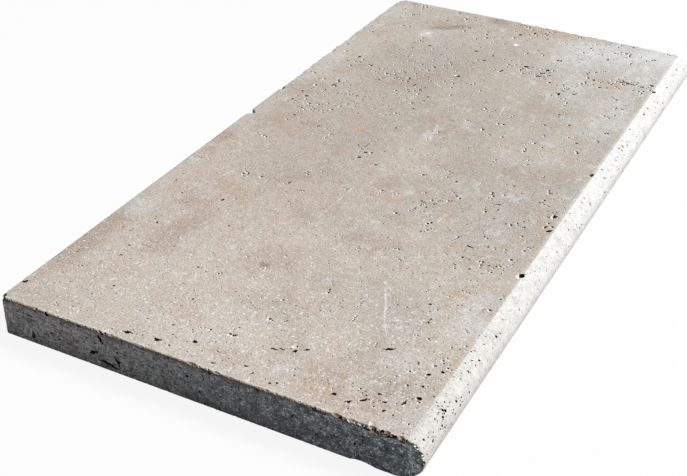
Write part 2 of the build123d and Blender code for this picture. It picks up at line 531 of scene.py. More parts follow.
# Lime crumbs whiten patches of the front arris, and a brown stain runs under it.
near_front = fade(axes["Y"], front_y + 2.6, front_y + 0.6, 0.0, 0.6)
near_front = times(near_front, fade(dust, 0.42, 0.58))
colour = lay_over(times(near_front, on_face), colour, CHALK)
edge = less(axes["Z"], mottle)
stained = fade(edge, top_z - 0.9, top_z - 1.6, 0.0, 0.55)
stained = times(stained, fade(edge, top_z - 6.0, top_z - 3.5))
colour = lay_over(stained, colour, EDGE_STAIN)
relief = less(sugar["Height"], times(pinholes, 1.4))
finish_material(tree, shader, colour, fade(mottle, 0.3, 0.7, 0.75, 0.95), relief, 0.8)

# The sawn faces: both ends, the paving edge and the underside. They are greyer and darker than
# the top, partly the sawn stone's own tone and partly painted shade for the faces that turn away
# from the lamp, with lighter crystals, and a brown stain runs along under the top.

# Painted shade: these sawn colours are set darker than the stone's own tone, so that the end facing away
# from the lamp keeps a deep shade.
SAWN_SHADED = paint(174, 167, 163)
SAWN_COOL = paint(120, 127, 130)
SAWN_DARK = paint(114, 112, 111)
CRYSTAL = paint(238, 246, 248)
STAIN = paint(124, 96, 83)

sawn_shaded_stone, tree, shader, place = start_material("sawn_travertine_painted_shade")
axes = axes_of(place)
toward_nose = fade(axes["X"], paving_x + 30, crease_x)
colour = lay_over(toward_nose, SAWN_SHADED, SAWN_COOL)
beds = vector_calc("MULTIPLY", place, (0.10, 0.10, 1.0))
streaks = noise(beds, 1.1, 4.0, 0.65)
colour = lay_over(fade(streaks, 0.42, 0.66, 0.0, 0.75), colour, SAWN_DARK)
cloud = noise(place, 9.0, 5.0, 0.65)
colour = toned(colour, fade(cloud, 0.30, 0.70, 0.80, 1.16))
across = fade(axes["X"], paving_x, nose_x, 1.14, 0.88)
colour = toned(colour, across)
sugar = place_group(grain, Place=place, Contrast=4.4, Hue=1.0)
colour = toned(colour, sugar["Tone"])
clusters = noise(shift(place), 8.0, 4.0, 0.70)
clusters = fade(clusters, 0.45, 0.58, 0.12, 1.0)
frosted = times(clusters, times(toward_nose, 0.10))
colour = lay_over(frosted, colour, CRYSTAL)
for spacing, reach in ((1.0, 0.60), (1.6, 0.80), (2.6, 1.0)):
    share = times(clusters, fade(axes["X"], 0.0, crease_x, 0.45, 1.0))
    crystals = spotted(place, spacing, share, reach)
    colour = lay_over(crystals, colour, CRYSTAL)
stained = plus(axes["Z"], times(less(cloud, 0.5), 5.0))
stained = fade(stained, top_z - 3.4, top_z - 1.8, 0.0, 0.70)
colour = lay_over(stained, colour, STAIN)
pinholes = spotted(shift(place), 2.3, 0.45, 0.65)
colour = lay_over(times(pinholes, 0.85), colour, PINHOLE)
relief = less(sugar["Height"], times(pinholes, 1.4))
finish_material(tree, shader, colour, fade(cloud, 0.3, 0.7, 0.75, 0.95), relief, 0.6)

# The ground bullnose.

CREAM = paint(214, 214, 212)
CREST_HIGHLIGHT = paint(240, 240, 239)
SAND = paint(194, 190, 184)
UMBER = paint(98, 80, 64)

ground_stone, tree, shader, place = start_material("ground_travertine")
cloud = noise(place, 22.0, 5.0, 0.6)
axes = axes_of(place)
colour = lay_over(fade(axes["Y"], front_y + 260, front_y, 0.0, 0.50), CREAM, SAND)
colour = lay_over(fade(cloud, 0.48, 0.75, 0.0, 0.6), colour, SAND)
near_crease = plus(axes["X"], times(less(cloud, 0.5), 3.0))
upper = fade(axes["Z"], top_z - 2.0, top_z - 0.5)
# Painted highlight: the upper round is painted whiter near the crease, where it faces up towards the lamp,
# and most of all towards the back end.
painted_crest_highlight = fade(axes["X"], crease_x + 7.5, crease_x + 0.5, 0.0, 0.65)
painted_crest_highlight = times(painted_crest_highlight, fade(axes["Z"], nose_z + 3.0, nose_z + 9.0))
painted_crest_highlight = times(painted_crest_highlight, fade(axes["Y"], front_y, front_y + 400, 0.35, 1.0))
colour = lay_over(painted_crest_highlight, colour, CREST_HIGHLIGHT)
# Painted shade: the lower part of the bullnose, which turns away from the lamp, is painted sandier.
painted_foot_shade = fade(axes["Z"], nose_z + 8.0, nose_z, 0.0, 0.35)
colour = lay_over(painted_foot_shade, colour, SAND)
worn = times(fade(near_crease, crease_x + 1.4, crease_x + 0.4, 0.0, 0.3), upper)
colour = lay_over(worn, colour, BEIGE)
mottle = noise(place, 6.0, 5.0, 0.65)
colour = toned(colour, fade(mottle, 0.30, 0.70, 0.93, 1.04))
sugar = place_group(grain, Place=place, Contrast=1.2, Hue=0.45)
colour = toned(colour, sugar["Tone"])
crowd = fade(noise(place, 20.0, 3.0), 0.40, 0.62, 0.2, 0.65)
pinholes = spotted(shift(place), 3.6, crowd, 0.75)
colour = lay_over(times(pinholes, 0.8), colour, UMBER)
relief = less(sugar["Height"], times(pinholes, 1.4))
finish_material(tree, shader, colour, fade(cloud, 0.3, 0.7, 0.65, 0.85), relief, 0.45)

# The walls of the voids: pale at the mouths, and dark deeper in, partly a brown crust and partly
# painted shade inside the voids.

LIP = paint(206, 196, 184)
CRUST = paint(104, 85, 69)
DEEP_CRUST_AND_SHADE = paint(52, 43, 37)
NOSE_CRUST = paint(158, 122, 96)

void_stone, tree, shader, place = start_material("void_crust_and_painted_shade")
axes = axes_of(place)
depth = less(top_z, axes["Z"])
for sunk in (
    less(axes["Z"], bed_z),
    less(axes["X"], paving_x),
    less(axes["Y"], front_y),
    less(back_y, axes["Y"]),
):
    depth = calc("MINIMUM", depth, sunk)
blotch = noise(place, 1.6, 4.0)
colour = lay_over(fade(blotch, 0.35, 0.65), DEEP_CRUST_AND_SHADE, CRUST)
far_nose = fade(axes["Y"], front_y + 60, front_y + 220, 0.35, 0.9)
on_nose = times(fade(axes["X"], crease_x, crease_x + 2.0), far_nose)
colour = lay_over(on_nose, colour, NOSE_CRUST)
# Painted shade: below the mouths the walls take the dark crust colours, down to near black, for the shade
# inside the voids as well as their crust.
uneven = plus(depth, times(less(blotch, 0.5), 0.8))
colour = lay_over(fade(uneven, 0.0, 0.35), LIP, colour)
finish_material(tree, shader, colour, fade(blotch, 0.3, 0.7, 0.85, 0.95), blotch, 0.3)

# The chalky rims that some voids have on the top. Their white is partly calcite and partly a
# painted highlight on the side of each void that faces the lamp.

CALCITE_AND_HIGHLIGHT = paint(246, 246, 244)

rim_stone, tree, shader, place = start_material("calcite_rim_and_painted_highlight")
blotch = noise(place, 1.2, 3.0)
colour = lay_over(fade(blotch, 0.5, 0.75), CALCITE_AND_HIGHLIGHT, BEIGE)
finish_material(tree, shader, colour, fade(blotch, 0.3, 0.7, 0.7, 0.9), blotch, 0.3)

# Each face gets its finish: the rounds of the bullnose are ground, the other upright faces and
# the underside are sawn, and the top and the arrises are worn.

for stone in (worn_stone, ground_stone, sawn_shaded_stone):
    slab.data.materials.append(stone)
for face in slab.data.polygons:
    middle = face.center / MM
    level = abs(face.normal.z) > 0.9999
    if max(-face.normal.x, abs(face.normal.y), -face.normal.z) > 0.95:
        face.material_index = 2
    elif not level and middle.x > (crease_x if middle.z > nose_z else nose_x - UNDERCUT):
        face.material_index = 1

# The natural voids. Gas and roots left travertine full of small hollows, and the saw opens
# those that it crosses. Most are pits of a millimetre or two, strung out along the beds of
# the stone, and a few are open slots. Each is a lumpy ball that is cut out of the slab.

draws = random.Random(24)

# How far a lumpy ball reaches from its middle, as a share of its size.
BALL_REACH = 0.65


class Hollow:
    """A hollow to be cut: its middle, its turn and its three sizes across."""

    def __init__(self, middle, turn, sizes):
        self.middle = Vector(middle)
        self.turn = turn
        self.sizes = Vector(sizes)
        self.reach = BALL_REACH * max(sizes)

    def clear_of(self, other):
        return (self.middle - other.middle).length > self.reach + other.reach


def rough_ball(stone, seed, lumps, subdivisions=1, smoothing=0):
    """Models a lumpy ball of unit size, whose copies leave hollows lined with this stone."""
    bpy.ops.object.select_all(action="DESELECT")
    bpy.ops.mesh.primitive_ico_sphere_add(subdivisions=subdivisions, radius=0.5)
    ball = bpy.context.object
    ball.data.materials.append(stone)
    bpy.ops.object.mode_set(mode="EDIT")
    bpy.ops.mesh.select_all(action="SELECT")
    bpy.ops.transform.vertex_random(offset=lumps, seed=seed)
    if smoothing:
        bpy.ops.mesh.subdivide(number_cuts=smoothing, smoothness=0.8)
    bpy.ops.object.mode_set(mode="OBJECT")
    return ball


def carve(slab, hollows, balls):
    """Cuts hollows out of the slab, in rounds in which none touches another."""
    rounds = []
    for hollow in hollows:
        for cut in rounds:
            if all(hollow.clear_of(other) for other in cut):
                cut.append(hollow)
                break
        else:
            rounds.append([hollow])
    for cut in rounds:
        bpy.ops.object.select_all(action="DESELECT")
        for hollow in cut:
            cutter = draws.choice(balls).copy()
            cutter.matrix_world = Matrix.LocRotScale(
                hollow.middle * MM, hollow.turn.to_quaternion(), hollow.sizes * MM
            )
            bpy.context.collection.objects.link(cutter)
            cutter.select_set(True)
        cutter.data = cutter.data.copy()
        bpy.context.view_layer.objects.active = cutter
        if len(cut) > 1:
            bpy.ops.object.join()
        bpy.ops.object.transform_apply(location=True, rotation=True, scale=True)
        bpy.context.view_layer.objects.active = slab
        modifier = slab.modifiers.new("hollows", "BOOLEAN")
        modifier.object = cutter
        modifier.operation = "DIFFERENCE"
        modifier.solver = "MANIFOLD"
        modifier.material_mode = "TRANSFER"
        bpy.ops.object.modifier_apply(modifier=modifier.name)
        bpy.data.objects.remove(cutter, do_unlink=True)


pit_balls = [rough_ball(void_stone, seed, lumps=0.12) for seed in range(8)]
void_balls = [rough_ball(void_stone, seed, lumps=0.15, subdivisions=2) for seed in range(6)]

LEVEL = Matrix.Identity(3)


def spin(degrees, axis="Z"):
    return Matrix.Rotation(math.radians(degrees), 3, axis)


def on_top(across, along):
    return Vector((paving_x + across, front_y + along, top_z)), LEVEL


def on_underside(across, along):
    return Vector((paving_x + across, front_y + along, bed_z)), spin(180, "X")


def on_front_end(across, climb):
    return Vector((paving_x + across, front_y, climb)), spin(90, "X")


def on_back_end(across, climb):
    return Vector((paving_x + across, back_y, climb)), spin(-90, "X")


def on_paving_edge(along, climb):
    return Vector((paving_x, front_y + along, climb)), spin(90, "Z") @ spin(-90, "X") @ spin(180, "Z")


def on_bullnose(climb, along):
    """Climb is in degrees above the foremost line, or below it where it is negative."""
    angle = math.radians(abs(climb))
    point, normal = upper_round(angle) if climb > 0 else lower_round(angle)
    tilt = math.degrees(math.atan2(normal.x, normal.z))
    return Vector((point.x, front_y + along, point.z)), spin(tilt, "Y")


def on_front_corner(swing, climb):
    """Swing goes from 0 degrees on the front end to 90 on the paving edge."""
    angle = math.radians(swing)
    inward = CORNER_RADIUS * Vector((1 - math.sin(angle), 1 - math.cos(angle)))
    return Vector((paving_x + inward.x, front_y + inward.y, climb)), spin(-swing, "Z") @ spin(90, "X")


def hollow_at(seat, length, breadth, turn, depth=None):
    """A hollow that opens at a seat on the slab's surface, a little wider inside than its mouth."""
    middle, face_turn = seat
    depth = depth or 1.3 * breadth
    sink = face_turn @ Vector((0, 0, -0.15 * depth))
    return Hollow(middle + sink, face_turn @ spin(turn), (length, breadth, 1.5 * depth))


def random_pit(seat):
    """A pit of a millimetre or two. The stone is more open towards the back end."""
    usual = 1.2 + 0.6 * (seat[0].y - front_y) / (back_y - front_y)
    length = min(max(draws.lognormvariate(math.log(usual), 0.36), 0.7), 2.8)
    breadth = length * draws.uniform(0.55, 0.95)
    return hollow_at(seat, length, breadth, draws.uniform(-90, 90), breadth * draws.uniform(1.0, 1.8))


def rim_of(pit):
    """A shallow chalky dish beside a pit on the top, towards the paving edge and the front end, where the
    pit's wall faces the lamp: its white is partly calcite and partly a painted highlight of that lit wall.
    """
    size = (pit.sizes.x + pit.sizes.y) / 2
    middle = Vector((pit.middle.x - 0.25 * size, pit.middle.y - 0.45 * size, top_z + 0.22 * size))
    return Hollow(middle, pit.turn, (1.35 * size, 1.35 * size, 0.85 * size))


def has_chalky_highlight_rim(pit):
    """Whether a pit has a chalky rim, partly calcite and partly a painted highlight. On the top many have
    one, most of all towards the back end.
    """
    share = (pit.middle.y - front_y) / (back_y - front_y)
    return pit.middle.z > top_z - 1.5 and draws.random() < 0.45 + 0.35 * share


# Open voids that stand out in the photograph. On the top: across from the paving edge, along
# from the front end, length, breadth, and turn from straight across.
TOP_VOIDS = [
    (97, 8, 8.0, 2.6, 8), (118, 10.5, 5.6, 3.0, 0), (139.6, 19, 2.8, 2.4, 0),
    (118, 27.5, 2.2, 1.6, 40), (158, 37, 3.0, 1.9, 40), (186.4, 36.3, 4.4, 2.0, 20),
    (190.7, 38.6, 3.8, 1.4, 15), (161, 7, 3.4, 1.6, 20), (180, 13.9, 3.0, 1.4, 10),
    (186.7, 9.9, 2.6, 1.4, 60), (200.9, 6.9, 1.8, 1.6, 0), (204.6, 8.9, 1.8, 1.6, 0),
    (199, 40.6, 3.4, 2.6, 60), (204.6, 45, 4.2, 2.2, 40), (249, 70, 8.0, 2.2, 30),
    (249.5, 13.8, 4.4, 2.3, 38), (257, 19.8, 6.2, 2.2, 38), (239, 15.7, 3.0, 2.4, 0),
    (262.7, 28.7, 2.8, 1.4, -20), (268.4, 23.4, 2.8, 1.8, 20), (271.4, 16.2, 2.6, 1.9, 70),
    (247.8, 202, 6.4, 1.8, -20), (278.4, 28.3, 5.0, 2.3, 85), (284.7, 35.5, 3.3, 2.8, 0),
    (280.5, 58.7, 3.0, 2.6, 30), (287, 64.8, 2.6, 2.0, 0), (251.6, 125, 2.2, 1.8, 0),
    (85, 145, 2.2, 1.6, 50), (61, 174, 3.4, 2.2, 60), (120, 282, 3.2, 2.4, 60),
    (121, 291.6, 3.0, 2.2, 20), (137, 277, 2.6, 2.0, 60), (66, 314, 3.2, 2.2, 60),
    (29, 360, 3.2, 2.6, 30), (39, 391, 4.5, 2.4, 70), (31, 458, 3.3, 2.8, 40),
    (111, 418.5, 3.2, 2.5, 60), (82, 432, 3.0, 2.0, 60), (93, 435, 3.0, 2.0, 60),
    (129, 461.6, 4.4, 3.0, 65), (146.5, 451, 2.8, 2.4, 0), (221.5, 469.5, 4.4, 3.2, 70),
    (159, 491.5, 6.0, 2.8, 70), (136.6, 505.8, 4.4, 2.6, 70), (122, 522, 3.6, 2.6, 60),
    (78, 513, 3.2, 2.8, 60), (176, 511, 5.0, 3.6, 10), (193, 496.5, 5.0, 3.0, 20),
    (196, 513, 4.6, 3.4, 60), (196.5, 539, 3.6, 2.0, 80), (239.5, 513, 3.2, 2.6, 60),
    (248.7, 500.5, 3.0, 2.6, 40), (237, 563, 4.4, 2.2, 70), (269, 521, 11.0, 2.2, -10),
    (289, 526, 5.0, 2.4, -25), (249, 416, 3.2, 2.0, 60), (145, 579.5, 5.2, 3.0, 55),
    (156, 590, 3.4, 2.4, 50), (165, 593.5, 4.2, 2.2, 60), (4, 21, 4.0, 3.0, 60),
]

# Voids on the crease of the bullnose, and on the front end.
CREASE_VOIDS = [
    (292.6, 185, 5.0, 3.4, 80), (290, 248, 5.4, 3.0, 40), (286, 252, 4.0, 2.2, 70),
    (287, 269, 4.0, 3.0, 60), (292, 342, 5.4, 3.4, 80), (294, 514, 5.4, 2.8, 70),
]
FRONT_VOIDS = [
    (24.4, 6.8, 6.0, 3.4, 75), (25, 22, 3.0, 1.4, 0), (81, 23.5, 7.6, 3.4, 118),
    (73.5, 10.4, 5.4, 3.0, 20), (77, 12, 3.0, 2.2, 80), (92.5, 10, 8.4, 3.2, 122),
    (84, 5.8, 13.0, 2.6, -8), (90, 4.6, 7.0, 2.0, -8), (41, 14, 2.6, 1.6, 0),
    (146, 19, 2.6, 1.8, 0), (220, 17.5, 4.2, 2.0, 60),
]

# Voids on the bullnose: degrees above its foremost line, along, length, breadth and turn.
NOSE_VOIDS = [
    (50, 8, 1.9, 1.6, 70), (44, 12, 1.1, 1.0, 0), (56, 26, 1.4, 1.2, 0), (68, 36, 1.3, 1.1, 30),
    (52, 36, 2.0, 1.9, 0), (76, 38, 1.2, 1.1, 0), (60, 38, 1.2, 1.0, 0), (60, 42, 1.4, 1.3, 0),
    (78, 64, 1.2, 1.0, 0), (50, 76, 1.2, 1.0, 0), (48, 84, 1.4, 1.1, 0), (48, 90, 2.3, 1.3, 45),
    (62, 104, 1.4, 1.0, 20), (36, 108, 1.5, 1.0, 80), (50, 348, 2.2, 1.5, 30), (52, 380, 2.0, 1.5, 0),
    (54, 398, 2.4, 1.7, 30), (66, 398, 2.4, 1.7, 60), (60, 404, 2.2, 1.7, 0), (64, 482, 2.5, 1.9, 40),
    (30, 488, 2.0, 1.5, 0), (26, 512, 2.2, 1.7, 30), (58, 576, 2.7, 1.9, 60), (34, 590, 2.0, 1.7, 0),
]

# Single pits on the top towards the bullnose: across, along and size.
TOP_PITS = [
    (283, 75, 2.0), (284, 78.7, 1.5), (274.3, 80.3, 1.5), (288, 73.2, 1.5), (284.3, 72.7, 1.7),
    (282, 46.8, 2.6), (277.4, 15.5, 1.9), (288.7, 12.8, 1.7), (287, 27.6, 1.5), (291.5, 41.5, 1.7),
    (262.7, 20.2, 1.4), (281.4, 34, 1.5), (239.7, 115.3, 1.8), (277, 131.7, 1.6), (267.8, 117, 1.5),
    (287.4, 90.3, 1.5), (255.4, 81.5, 1.5), (256.8, 90.4, 1.4), (279.6, 200, 3.0), (283.4, 215, 2.4),
    (284, 220.3, 2.0), (271.5, 210, 2.2), (246.8, 258.2, 2.6), (198.5, 248.4, 2.4), (211.7, 254, 2.0),
    (259, 242.7, 2.2), (262, 244, 2.0), (245, 297.5, 2.4), (258.3, 175.7, 2.4), (261, 187.6, 2.2),
    (268.6, 186, 2.2),
]

# Beds of pits on the top: from one end to the other, how far they stray, and how many.
PIT_BEDS = [
    ((90, 5), (145, 20), 4, 12), ((183, 34), (207, 47), 2, 9), ((236, 8), (290, 40), 9, 40),
    ((250, 20), (290, 120), 18, 36), ((262, 60), (285, 300), 13, 60), ((20, 345), (72, 312), 9, 34),
    ((18, 360), (60, 340), 8, 20), ((30, 330), (110, 470), 22, 45), ((28, 396), (92, 372), 10, 48),
    ((20, 458), (112, 418), 10, 60), ((60, 502), (100, 428), 9, 60), ((75, 522), (130, 440), 9, 51),
    ((40, 350), (120, 400), 16, 45), ((95, 560), (152, 430), 14, 50), ((155, 516), (198, 494), 4, 39),
    ((195, 494), (199, 542), 3, 24), ((218, 462), (226, 496), 4, 21), ((229, 497), (262, 520), 5, 40),
    ((250, 519), (292, 520), 4, 40), ((266, 532), (288, 505), 5, 24), ((138, 576), (176, 600), 6, 30),
    ((215, 556), (250, 600), 14, 36), ((190, 240), (214, 258), 6, 14), ((117, 275), (126, 300), 4, 9),
    ((95, 288), (60, 322), 4, 14), ((264, 240), (292, 278), 5, 26), ((20, 20), (60, 130), 16, 16),
    ((10, 15), (150, 60), 22, 40),
]

seats = []
for start, end, stray, count in PIT_BEDS:
    for pit in range(count):
        share = draws.random()
        across = start[0] + share * (end[0] - start[0]) + draws.gauss(0, stray)
        along = start[1] + share * (end[1] - start[1]) + draws.gauss(0, stray)
        if 4 < across < nose_x - paving_x - CREASE_SETBACK - 1 and 4 < along < back_y - front_y - 4:
            seats.append(on_top(across, along))

# Short strings of pits: the first lie towards the bullnose, and the others crowd to the back end.
PIT_STRINGS = 365
NOSE_SIDE_STRINGS = 90
for string in range(PIT_STRINGS):
    across, along = draws.uniform(6, 287), back_y - front_y - 6 - 598 * draws.random() ** 1.6
    if string < NOSE_SIDE_STRINGS:
        across, along = draws.uniform(180, 287), draws.uniform(130, 420)
    heading = draws.uniform(0, math.pi)
    step = draws.uniform(1.3, 3.0)
    for pit in range(draws.choice((1, 1, 2, 3, 3, 4, 5))):
        seats.append(on_top(across, along))
        across = min(max(across + step * math.cos(heading), 4), 289)
        along = min(max(along + step * math.sin(heading), 4), 606)
        heading += draws.uniform(-0.7, 0.7)


def strew(count, seat_on, first_way, second_way):
    """Seats strewn over a face, between two limits each way."""
    for pit in range(count):
        seats.append(seat_on(draws.uniform(*first_way), draws.uniform(*second_way)))


strew(160, on_bullnose, (-60, 80), (4, 606))
for pit in range(50):
    seats.append(on_bullnose(draws.uniform(5, 80), min(max(draws.gauss(34, 18), 4), 90)))
strew(150, on_front_end, (4, 296), (3, 27))
strew(80, on_back_end, (4, 296), (3, 27))
strew(100, on_paving_edge, (6, 604), (3, 27))
strew(80, on_underside, (4, 280), (4, 606))

pits = [random_pit(seat) for seat in seats]
for across, along, size in TOP_PITS:
    pits.append(hollow_at(on_top(across, along), size, 0.8 * size, draws.uniform(-90, 90)))
# The chalky dishes beside the pits are partly painted highlights on the lamp side of each pit.
rims = [rim_of(pit) for pit in pits if has_chalky_highlight_rim(pit)]


def string_of_hollows(seat, length, breadth, turn):
    """An irregular open void: a string of hollows that run into each other."""
    middle, face_turn = seat
    count = max(3, round(1.6 * length / breadth))
    hollows = []
    for link in range(count):
        share = link / (count - 1) - 0.5
        swell = draws.uniform(0.8, 1.2) * (1 - 0.9 * abs(share))
        size = max(breadth * swell, 1.0)
        drift = (share * (length - size), draws.uniform(-0.22, 0.22) * breadth, 0)
        place = middle + face_turn @ spin(turn) @ Vector(drift)
        hollows.append(hollow_at((place, face_turn), 1.25 * size, size, turn + draws.uniform(-25, 25)))
    return hollows


voids = []
for row in TOP_VOIDS + CREASE_VOIDS:
    voids += string_of_hollows(on_top(row[0], row[1]), *row[2:])
for row in FRONT_VOIDS:
    voids += string_of_hollows(on_front_end(row[0], row[1]), *row[2:])
for row in NOSE_VOIDS:
    voids.append(hollow_at(on_bullnose(row[0], row[1]), *row[2:]))
# Some open voids get the same chalky dishes, partly painted highlights on their lamp side.
rims += [rim_of(void) for void in voids[::3] if has_chalky_highlight_rim(void)]
rim_balls = [rough_ball(rim_stone, seed, lumps=0.10) for seed in range(4)]
carve(slab, rims, rim_balls)
carve(slab, pits, pit_balls)
carve(slab, voids, void_balls)

# The chipped edges. Handling and tumbling broke small nicks from every arris, a few larger
# flakes from the front end, and one notch from the middle of the paving edge.


def nick_at(corner, outward, edge_turn, length, breadth, bite):
    """A nick that bites this deep into the worn arris under a sharp corner line."""
    worn = corner - outward * ARRIS_RADIUS * (math.sqrt(2) - 1)
    return Hollow(worn + outward * (breadth / 2 - bite), edge_turn, (length, breadth, breadth))


def random_nicks(count, corner_at, largest=2.0):
    """Nicks strewn along one arris."""
    nicks = []
    for nick in range(count):
        corner, outward, edge_turn = corner_at(draws.random())
        outward = Vector([share * draws.uniform(0.5, 1.5) for share in outward])
        breadth = draws.uniform(0.7, largest)
        length = breadth * draws.uniform(0.9, 2.0)
        bite = breadth * draws.uniform(0.22, 0.48)
        nicks.append(nick_at(corner, outward.normalized(), edge_turn, length, breadth, bite))
    return nicks


def straight_arris(start, end, outward, edge_turn):
    start, end = Vector(start), Vector(end)
    return lambda share: (start.lerp(end, share), Vector(outward), edge_turn)


def bullnose_end(y, way):
    def corner_at(share):
        climb = -80 + share * 165
        angle = math.radians(abs(climb))
        point, normal = upper_round(angle) if climb > 0 else lower_round(angle)
        return Vector((point.x, y, point.z)), normal + Vector((0, way, 0)), spin(90, "Z")

    return corner_at


ACROSS = LEVEL
ALONG = spin(90, "Z")
UPRIGHT = spin(90, "Y")
first_x = paving_x + 3
first_y, last_y = front_y + 3, back_y - 3
nicks = []
for y, way in ((front_y, -1), (back_y, 1)):
    upper = straight_arris((first_x, y, top_z), (crease_x, y, top_z), (0, way, 1), ACROSS)
    lower = straight_arris((first_x, y, bed_z), (crease_x - 8, y, bed_z), (0, way, -1), ACROSS)
    rounded = CORNER_RADIUS * (1 - math.sqrt(0.5))
    corner_x, corner_y = paving_x + rounded, y - way * rounded
    upright = straight_arris((corner_x, corner_y, 3), (corner_x, corner_y, 27), (-1, way, 0), UPRIGHT)
    nicks += random_nicks(70, upper) + random_nicks(70, lower)
    nicks += random_nicks(26, bullnose_end(y, way)) + random_nicks(16, upright, largest=2.6)
paving_upper = straight_arris((paving_x, first_y, top_z), (paving_x, last_y, top_z), (-1, 0, 1), ALONG)
paving_lower = straight_arris((paving_x, first_y, bed_z), (paving_x, last_y, bed_z), (-1, 0, -1), ALONG)
nicks += random_nicks(210, paving_upper) + random_nicks(130, paving_lower)
front_upper = straight_arris((first_x, front_y, top_z), (crease_x, front_y, top_z), (0, -1, 1), ACROSS)
nicks += random_nicks(190, front_upper, largest=1.3) + random_nicks(36, front_upper, largest=2.6)
nick_balls = [rough_ball(worn_stone, seed, lumps=0.14) for seed in range(8)]
carve(slab, nicks, nick_balls)


def worn_run(corner_at, spacing, length, breadth, bites):
    """Flakes that overlap along an arris, from the first bite at its start to the second at its end."""
    count = round((corner_at(1.0)[0] - corner_at(0.0)[0]).length / spacing)
    flakes = []
    for flake in range(count):
        share = (flake + draws.random()) / count
        corner, outward, edge_turn = corner_at(share)
        bite = (bites[0] + share * (bites[1] - bites[0])) * draws.uniform(0.75, 1.25)
        long = length * draws.uniform(0.7, 1.3)
        flakes.append(nick_at(corner, outward.normalized(), edge_turn, long, breadth, bite))
    return flakes


# Past the notch the paving edge has lost more of its arris, and so has the back end beside
# the bullnose.
worn_paving = straight_arris((paving_x, front_y + 366, top_z), (paving_x, last_y, top_z), (-1, 0, 1), ALONG)
worn_back = straight_arris((paving_x + 137, back_y, top_z), (crease_x, back_y, top_z), (0, 1, 1), ACROSS)
worn = worn_run(worn_paving, 3.6, 12.0, 8.0, (1.9, 2.1))
worn += worn_run(worn_back, 3.8, 12.0, 12.0, (1.8, 4.0))
flake_balls = [rough_ball(worn_stone, seed + 20, lumps=0.08, subdivisions=2) for seed in range(5)]
carve(slab, worn, flake_balls)

# The larger flakes: where along an arris they lie, their length and breadth, and how deep they bite.
PAVING_FLAKES = [
    (364, 9.0, 9.0, 4.4), (459, 11.0, 9.0, 4.0), (488, 12.0, 8.0, 2.8),
    (556, 8.0, 8.0, 3.0), (592, 12.0, 9.0, 4.2), (602, 10.0, 9.0, 4.0),
]
FRONT_FLAKES = [
    (150, 10.0, 3.4, 1.0), (168, 7.0, 2.6, 0.8), (249, 8.0, 3.6, 1.1), (259, 5.0, 3.2, 1.2),
    (272, 6.0, 3.6, 1.5), (281, 5.0, 3.8, 1.6), (290, 5.0, 3.4, 1.4),
]


def flake_at(x, y, z, outward, edge_turn, length, breadth, bite):
    return nick_at(Vector((x, y, z)), Vector(outward).normalized(), edge_turn, length, breadth, bite)


flakes = []
for along, length, breadth, bite in PAVING_FLAKES:
    flakes.append(flake_at(paving_x, front_y + along, top_z, (-1, 0, 1), ALONG, length, breadth, bite))
flakes += [
    flake_at(paving_x, back_y, top_z, (-1, 1, 1), ALONG, 16.0, 16.0, 6.4),
    flake_at(paving_x + 283, back_y, top_z, (0, 1, 1), ACROSS, 22.0, 14.0, 5.6),
    flake_at(paving_x + 266, front_y, bed_z, (0, -1, -1), ACROSS, 20.0, 6.0, 1.6),
]
for across, length, breadth, bite in FRONT_FLAKES:
    flakes.append(flake_at(paving_x + across, front_y, top_z, (0, -1, 1), ACROSS, length, breadth, bite))
carve(slab, flakes, flake_balls)

# Pale crumbs on the front arris beside the bullnose, on the bullnose's own front edge and on the
# paving edge beside the front corner.
crumbled = straight_arris((crease_x - 36, front_y, top_z), (crease_x, front_y, top_z), (0, -1, 1), ACROSS)
corner_end = (paving_x, front_y + 45, top_z)
beside_corner = straight_arris((paving_x, first_y, top_z), corner_end, (-1, 0, 1), ALONG)
crumbs = random_nicks(26, crumbled, largest=3.4)
crumbs += random_nicks(16, bullnose_end(front_y, -1), largest=2.8)
crumbs += random_nicks(14, beside_corner, largest=2.8)
carve(slab, crumbs, rim_balls)

# Broken places on the front end's upper arris: across from the paving edge, how far they
# stray, and how many small cavities they hold. Beside the bullnose they crowd together.
BREAKS = [
    (4, 2.0, 6), (38, 1.2, 3), (83, 1.2, 4), (133, 1.5, 3), (152, 1.5, 4), (161, 2.2, 8),
    (197, 1.5, 3), (236, 2.6, 10), (252, 2.0, 4), (268, 4.0, 14), (279, 3.0, 14), (287, 3.0, 12),
]

# Broken places on the front corner of the paving edge: swing, height, length and breadth.
CORNER_VOIDS = [
    (35, 28.6, 6.0, 4.6), (62, 26.8, 4.6, 3.6), (45, 20.5, 3.0, 2.2),
    (50, 13.0, 3.6, 2.4), (40, 8.0, 2.6, 2.0),
]


def cavity_at(seat, lengths, breadths, turn):
    """A cavity with a length and a breadth between limits, turned this far at most."""
    length, breadth = draws.uniform(*lengths), draws.uniform(*breadths)
    return hollow_at(seat, length, breadth, draws.uniform(-turn, turn))


corner_cavities = []
for cavity in range(14):
    seat = on_front_corner(draws.uniform(0, 90), top_z - 0.3 - abs(draws.gauss(0, 2.4)))
    corner_cavities.append(cavity_at(seat, (2.4, 4.4), (1.6, 3.0), 40))
for swing, climb, length, breadth in CORNER_VOIDS:
    corner_cavities.append(hollow_at(on_front_corner(swing, climb), length, breadth, 0))
carve(slab, corner_cavities, pit_balls)
cavities = []
for across, stray, count in BREAKS:
    for cavity in range(count):
        seat = on_front_end(draws.gauss(across, stray), top_z - draws.uniform(0.4, 2.8))
        cavities.append(cavity_at(seat, (1.2, 3.2), (0.9, 2.0), 40))
for cavity in range(40):
    cavities.append(random_pit(on_front_end(draws.uniform(4, 290), top_z - draws.uniform(0.8, 3.0))))
for cavity in range(22):
    point, normal = upper_round(draws.uniform(-0.3, crease_angle))
    point -= normal * draws.uniform(0.3, 2.2)
    seat = on_front_end(point.x - paving_x, point.z)
    cavities.append(cavity_at(seat, (1.2, 3.0), (0.9, 1.8), 90))
